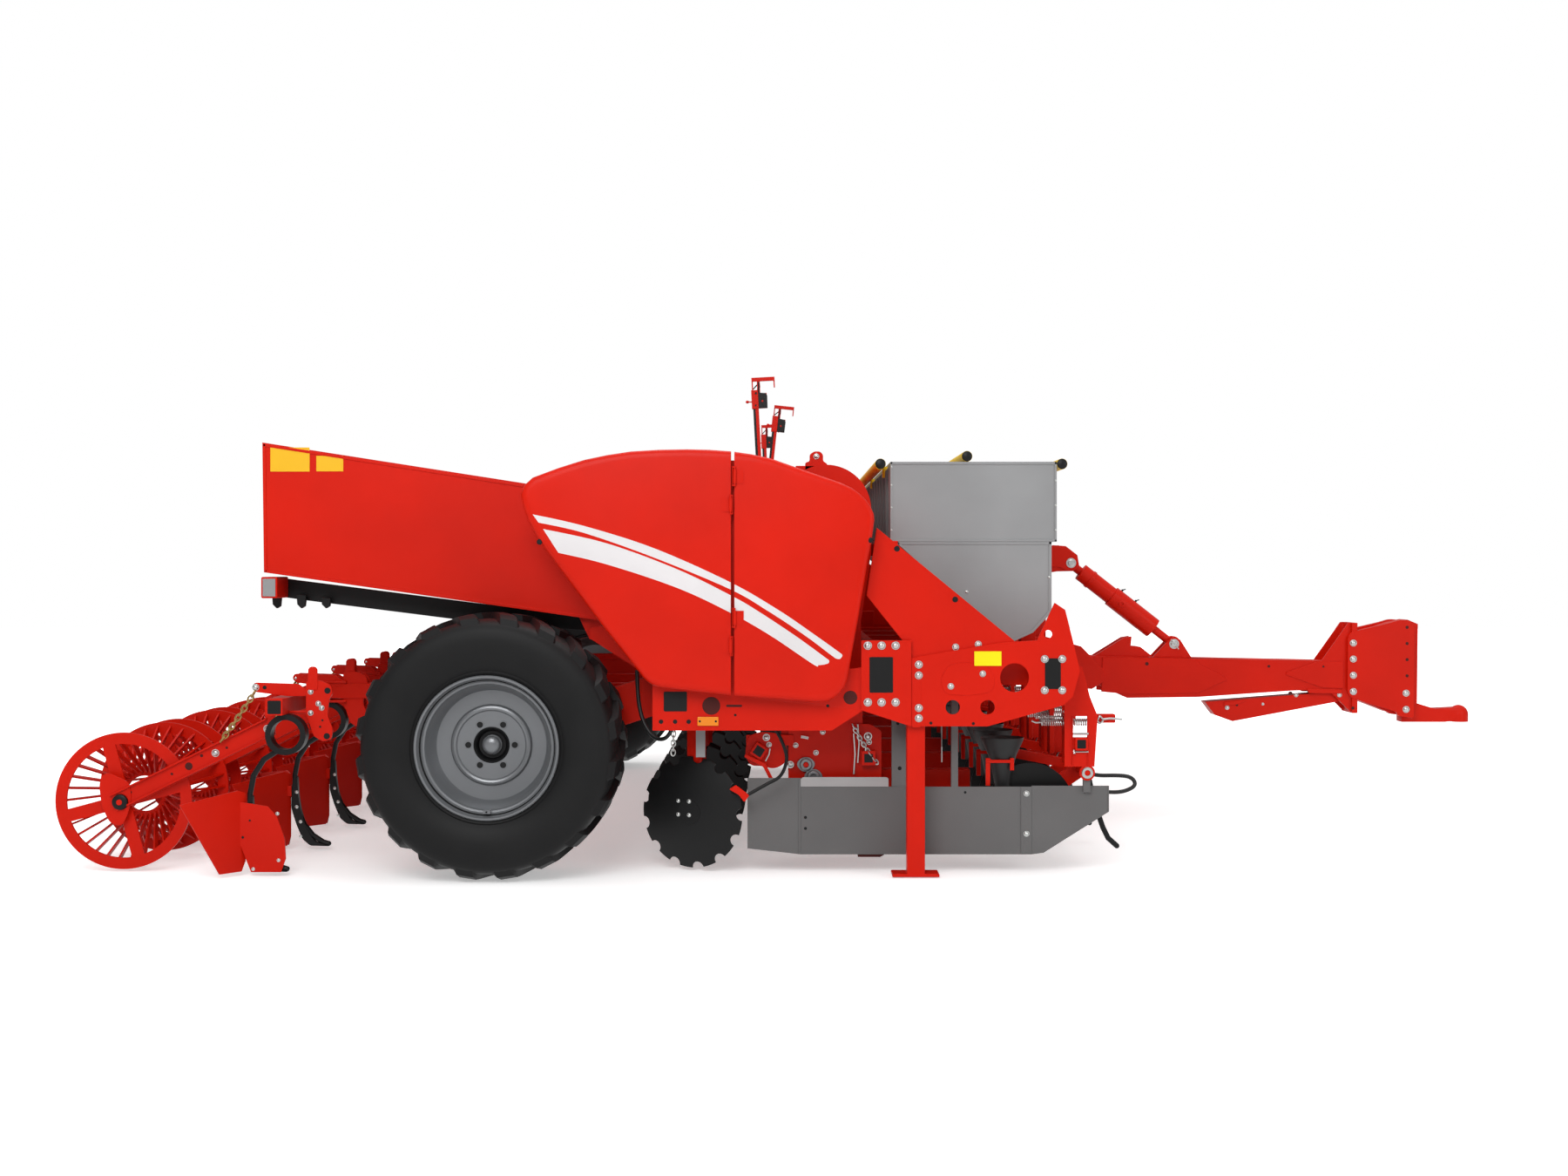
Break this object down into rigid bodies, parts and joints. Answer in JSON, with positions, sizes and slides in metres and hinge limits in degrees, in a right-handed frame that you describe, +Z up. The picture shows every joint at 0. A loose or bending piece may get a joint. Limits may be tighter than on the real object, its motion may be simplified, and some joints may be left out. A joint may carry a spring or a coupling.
{
  "type": "potato planter",
  "caption": "Trailed belt-type potato planter with tilting seed hopper, fertiliser tank, covering discs, ridging bodies, cage rollers and a ball-hitch drawbar.",
  "frame": {"origin": "on the ground under the middle of the machine's overall box", "axes": "+X forward towards the hitch, +Y left, +Z up"},
  "size_m": [6.988, 5, 2.2371],
  "materials": {
    "bright_steel": "ground",
    "disc_steel": "satin black",
    "grey_paint": "satin enamel",
    "hose_rubber": "satin",
    "red_paint": "gloss enamel",
    "silver_paint": "satin enamel",
    "tyre_rubber": "matt",
    "yellow_tube": "satin enamel"
  },
  "bodies": {
    "frame": {"belt_housings": "red_paint", "coulter_legs": "red_paint", "cross_beams": "red_paint", "disc_legs": "red_paint", "feed_trough": "red_paint", "fertiliser_tank": "grey_paint", "frame_head": "red_paint", "frame_rails": "red_paint", "guard_tubes": "yellow_tube", "hose_front": "hose_rubber", "hose_rear": "hose_rubber", "lever_posts": "red_paint", "planting_units": "red_paint", "rear_frame": "red_paint", "ridger_bodies": "red_paint", "side_frames": "red_paint", "skirts": "grey_paint", "spring_tines": "disc_steel", "tank_supports": "red_paint", "wheel_arms": "red_paint"},
    "hopper": {"hopper": "red_paint"},
    "door_rear_right": {"door_rear_right": "red_paint"},
    "door_front_right": {"door_front_right": "red_paint"},
    "door_rear_left": {"door_rear_left": "red_paint"},
    "door_front_left": {"door_front_left": "red_paint"},
    "wheel_right": {"tyre_right": "tyre_rubber", "rim_right": "silver_paint"},
    "wheel_left": {"tyre_left": "tyre_rubber", "rim_left": "silver_paint"},
    "jack_right": {"jack_right": "red_paint"},
    "jack_left": {"jack_left": "red_paint"},
    "drawbar": {"drawbar": "red_paint", "hitch": "red_paint"},
    "parking_leg": {"parking_leg": "red_paint"},
    "cylinder_barrel": {"cylinder_barrel": "red_paint"},
    "cylinder_rod": {"cylinder_rod": "bright_steel"},
    "roller_1": {"roller_1": "red_paint"},
    "coulter_1": {"coulter_1": "disc_steel"},
    "disc_1_right": {"disc_1_right": "disc_steel"},
    "disc_1_left": {"disc_1_left": "disc_steel"},
    "roller_2": {"roller_2": "red_paint"},
    "coulter_2": {"coulter_2": "disc_steel"},
    "disc_2_right": {"disc_2_right": "disc_steel"},
    "disc_2_left": {"disc_2_left": "disc_steel"},
    "roller_3": {"roller_3": "red_paint"},
    "coulter_3": {"coulter_3": "disc_steel"},
    "disc_3_right": {"disc_3_right": "disc_steel"},
    "disc_3_left": {"disc_3_left": "disc_steel"},
    "roller_4": {"roller_4": "red_paint"},
    "coulter_4": {"coulter_4": "disc_steel"},
    "disc_4_right": {"disc_4_right": "disc_steel"},
    "disc_4_left": {"disc_4_left": "disc_steel"},
    "roller_5": {"roller_5": "red_paint"},
    "coulter_5": {"coulter_5": "disc_steel"},
    "disc_5_right": {"disc_5_right": "disc_steel"},
    "disc_5_left": {"disc_5_left": "disc_steel"},
    "roller_6": {"roller_6": "red_paint"},
    "coulter_6": {"coulter_6": "disc_steel"},
    "disc_6_right": {"disc_6_right": "disc_steel"},
    "disc_6_left": {"disc_6_left": "disc_steel"}
  },
  "joints": [
    {"name": "hopper_tilt", "type": "hinge", "parent": "frame", "child": "hopper", "pos_m": [-1.12, 0, 1.045], "axis": [0, 1, 0], "range_deg": [0, 18]},
    {"name": "door_rear_right_hinge", "type": "hinge", "parent": "frame", "child": "door_rear_right", "pos_m": [-0.519, -2.448, 0], "axis": [0, 0, 1], "range_deg": [0, 80]},
    {"name": "door_front_right_hinge", "type": "hinge", "parent": "frame", "child": "door_front_right", "pos_m": [-0.501, -2.448, 0], "axis": [0, 0, -1], "range_deg": [0, 80]},
    {"name": "wheel_right_spin", "type": "hinge", "parent": "frame", "child": "wheel_right", "pos_m": [-1.55, -2.25, 0.57], "axis": [0, 1, 0], "continuous": true},
    {"name": "jack_right_lift", "type": "slide", "parent": "frame", "child": "jack_right", "axis": [0, 0, 1], "range_m": [0, 0.35]},
    {"name": "door_rear_left_hinge", "type": "hinge", "parent": "frame", "child": "door_rear_left", "pos_m": [-0.519, 2.448, 0], "axis": [0, 0, -1], "range_deg": [0, 80]},
    {"name": "door_front_left_hinge", "type": "hinge", "parent": "frame", "child": "door_front_left", "pos_m": [-0.501, 2.448, 0], "axis": [0, 0, 1], "range_deg": [0, 80]},
    {"name": "wheel_left_spin", "type": "hinge", "parent": "frame", "child": "wheel_left", "pos_m": [-1.55, 2.25, 0.57], "axis": [0, 1, 0], "continuous": true},
    {"name": "jack_left_lift", "type": "slide", "parent": "frame", "child": "jack_left", "axis": [0, 0, 1], "range_m": [0, 0.35]},
    {"name": "drawbar_hinge", "type": "hinge", "parent": "frame", "child": "drawbar", "pos_m": [1.396, 0, 0.736], "axis": [0, 1, 0], "range_deg": [-10, 10]},
    {"name": "parking_leg_hinge", "type": "hinge", "parent": "drawbar", "child": "parking_leg", "pos_m": [2.787, 0, 0.625], "axis": [0, -1, 0], "range_deg": [0, 80]},
    {"name": "cylinder_barrel_hinge", "type": "hinge", "parent": "frame", "child": "cylinder_barrel", "pos_m": [1.288, 0, 1.357], "axis": [0, 1, 0], "range_deg": [-4.03, 4.03]},
    {"name": "cylinder_rod_slide", "type": "slide", "parent": "cylinder_barrel", "child": "cylinder_rod", "axis": [0.787, 0, -0.6169], "range_m": [-0.0757, 0.0757]},
    {"name": "roller_1_spin", "type": "hinge", "parent": "frame", "child": "roller_1", "pos_m": [-3.194, -1.875, 0.308], "axis": [0, 1, 0], "continuous": true},
    {"name": "coulter_1_spin", "type": "hinge", "parent": "frame", "child": "coulter_1", "pos_m": [0.801, -1.875, 0.277], "axis": [0, 1, 0], "continuous": true},
    {"name": "disc_1_right_spin", "type": "hinge", "parent": "frame", "child": "disc_1_right", "pos_m": [-0.697, -2.125, 0.256], "axis": [-0.4226, -0.9063, 0], "continuous": true},
    {"name": "disc_1_left_spin", "type": "hinge", "parent": "frame", "child": "disc_1_left", "pos_m": [-0.697, -1.625, 0.256], "axis": [-0.4226, 0.9063, 0], "continuous": true},
    {"name": "roller_2_spin", "type": "hinge", "parent": "frame", "child": "roller_2", "pos_m": [-3.194, -1.125, 0.308], "axis": [0, 1, 0], "continuous": true},
    {"name": "coulter_2_spin", "type": "hinge", "parent": "frame", "child": "coulter_2", "pos_m": [0.801, -1.125, 0.277], "axis": [0, 1, 0], "continuous": true},
    {"name": "disc_2_right_spin", "type": "hinge", "parent": "frame", "child": "disc_2_right", "pos_m": [-0.697, -1.375, 0.256], "axis": [-0.4226, -0.9063, 0], "continuous": true},
    {"name": "disc_2_left_spin", "type": "hinge", "parent": "frame", "child": "disc_2_left", "pos_m": [-0.697, -0.875, 0.256], "axis": [-0.4226, 0.9063, 0], "continuous": true},
    {"name": "roller_3_spin", "type": "hinge", "parent": "frame", "child": "roller_3", "pos_m": [-3.194, -0.375, 0.308], "axis": [0, 1, 0], "continuous": true},
    {"name": "coulter_3_spin", "type": "hinge", "parent": "frame", "child": "coulter_3", "pos_m": [0.801, -0.375, 0.277], "axis": [0, 1, 0], "continuous": true},
    {"name": "disc_3_right_spin", "type": "hinge", "parent": "frame", "child": "disc_3_right", "pos_m": [-0.697, -0.625, 0.256], "axis": [-0.4226, -0.9063, 0], "continuous": true},
    {"name": "disc_3_left_spin", "type": "hinge", "parent": "frame", "child": "disc_3_left", "pos_m": [-0.697, -0.125, 0.256], "axis": [-0.4226, 0.9063, 0], "continuous": true},
    {"name": "roller_4_spin", "type": "hinge", "parent": "frame", "child": "roller_4", "pos_m": [-3.194, 0.375, 0.308], "axis": [0, 1, 0], "continuous": true},
    {"name": "coulter_4_spin", "type": "hinge", "parent": "frame", "child": "coulter_4", "pos_m": [0.801, 0.375, 0.277], "axis": [0, 1, 0], "continuous": true},
    {"name": "disc_4_right_spin", "type": "hinge", "parent": "frame", "child": "disc_4_right", "pos_m": [-0.697, 0.125, 0.256], "axis": [-0.4226, -0.9063, 0], "continuous": true},
    {"name": "disc_4_left_spin", "type": "hinge", "parent": "frame", "child": "disc_4_left", "pos_m": [-0.697, 0.625, 0.256], "axis": [-0.4226, 0.9063, 0], "continuous": true},
    {"name": "roller_5_spin", "type": "hinge", "parent": "frame", "child": "roller_5", "pos_m": [-3.194, 1.125, 0.308], "axis": [0, 1, 0], "continuous": true},
    {"name": "coulter_5_spin", "type": "hinge", "parent": "frame", "child": "coulter_5", "pos_m": [0.801, 1.125, 0.277], "axis": [0, 1, 0], "continuous": true},
    {"name": "disc_5_right_spin", "type": "hinge", "parent": "frame", "child": "disc_5_right", "pos_m": [-0.697, 0.875, 0.256], "axis": [-0.4226, -0.9063, 0], "continuous": true},
    {"name": "disc_5_left_spin", "type": "hinge", "parent": "frame", "child": "disc_5_left", "pos_m": [-0.697, 1.375, 0.256], "axis": [-0.4226, 0.9063, 0], "continuous": true},
    {"name": "roller_6_spin", "type": "hinge", "parent": "frame", "child": "roller_6", "pos_m": [-3.194, 1.875, 0.308], "axis": [0, 1, 0], "continuous": true},
    {"name": "coulter_6_spin", "type": "hinge", "parent": "frame", "child": "coulter_6", "pos_m": [0.801, 1.875, 0.277], "axis": [0, 1, 0], "continuous": true},
    {"name": "disc_6_right_spin", "type": "hinge", "parent": "frame", "child": "disc_6_right", "pos_m": [-0.697, 1.625, 0.256], "axis": [-0.4226, -0.9063, 0], "continuous": true},
    {"name": "disc_6_left_spin", "type": "hinge", "parent": "frame", "child": "disc_6_left", "pos_m": [-0.697, 2.125, 0.256], "axis": [-0.4226, 0.9063, 0], "continuous": true}
  ],
  "couplings": [
    {"joint": "cylinder_barrel_hinge", "follows": "drawbar_hinge", "ratio": 0.35253},
    {"joint": "cylinder_rod_slide", "follows": "drawbar_hinge", "m_per_rad": 0.42212}
  ]
}
